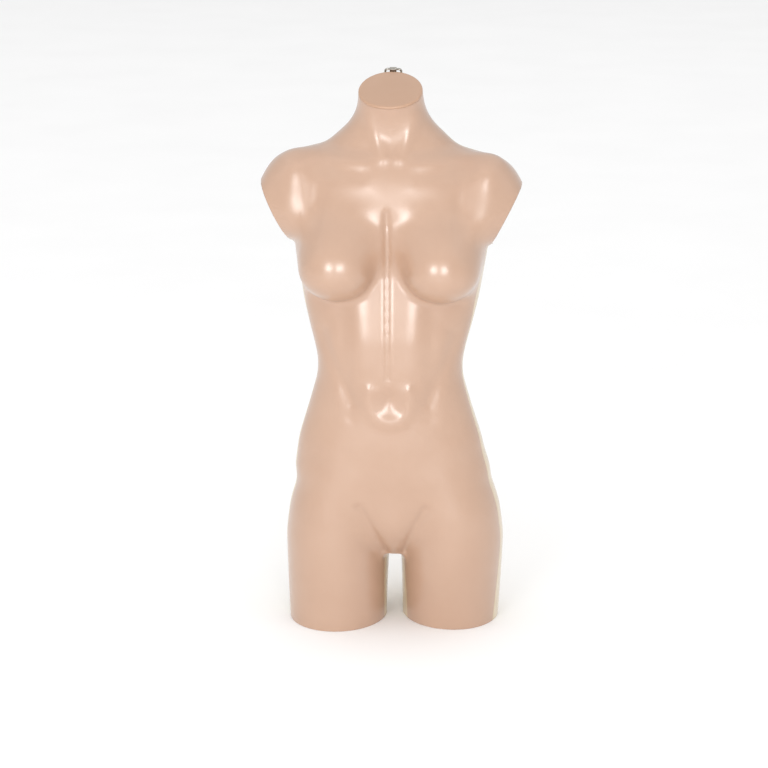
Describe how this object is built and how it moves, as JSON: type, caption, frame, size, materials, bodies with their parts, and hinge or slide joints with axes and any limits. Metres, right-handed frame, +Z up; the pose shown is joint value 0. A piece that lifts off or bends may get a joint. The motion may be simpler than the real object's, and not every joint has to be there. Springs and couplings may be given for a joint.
{
  "type": "female torso display form",
  "caption": "Headless, armless female three-quarter torso form in glossy plastic, in two bonded shells, with a rod socket in one thigh and a hanging ring.",
  "frame": {"origin": "centre of the outline seen from above, on the plane that the thigh rims stand on", "axes": "+Z up through the neck, the front faces -Y, the body's left side is +X"},
  "size_m": [0.394, 0.2372, 0.8644],
  "materials": {
    "front_plastic": "glossy moulded",
    "back_plastic": "glossy moulded",
    "cap_plastic": "glossy moulded",
    "strip_plastic": "matt",
    "plate_plastic": "matt",
    "zinc_steel": "zinc plated",
    "fastener_steel": "zinc plated",
    "nylon": "matt",
    "black_plastic": "satin",
    "ring_steel": "nickel plated"
  },
  "bodies": {
    "form": {"front_shell": "front_plastic", "back_shell": "back_plastic", "neck_cap": "cap_plastic", "left_flank_strip": "strip_plastic", "right_flank_strip": "strip_plastic", "left_shoulder_strip": "strip_plastic", "right_shoulder_strip": "strip_plastic", "crotch_strip": "strip_plastic", "right_thigh_plate": "plate_plastic", "left_thigh_plate": "plate_plastic", "socket_tube": "zinc_steel", "socket_stop": "zinc_steel", "socket_flange": "zinc_steel", "socket_brace": "zinc_steel", "flange_screws": "fastener_steel", "flange_nuts": "fastener_steel", "clamp_nut": "fastener_steel", "hang_backing_plate": "fastener_steel", "hang_strap": "ring_steel", "hang_rivets": "ring_steel"},
    "clamp_pad": {"clamp_pad": "nylon"},
    "clamp_screw": {"clamp_screw": "fastener_steel", "clamp_knob": "black_plastic"},
    "hang_ring": {"hang_ring": "ring_steel"}
  },
  "joints": [
    {"name": "clamp_travel", "type": "slide", "parent": "form", "child": "clamp_pad", "axis": [0, -1, 0], "range_m": [-0.006, 0.004]},
    {"name": "clamp_turn", "type": "hinge", "parent": "clamp_pad", "child": "clamp_screw", "pos_m": [0.094, 0.045, 0.0125], "axis": [0, -1, 0], "range_deg": [-1728.1, 1152.1]},
    {"name": "ring_swing", "type": "hinge", "parent": "form", "child": "hang_ring", "pos_m": [0, 0.03236, 0.86136], "axis": [1, 0, 0], "range_deg": [0, 200]}
  ],
  "couplings": [
    {"joint": "clamp_turn", "follows": "clamp_travel", "rad_per_m": 5026.5}
  ]
}
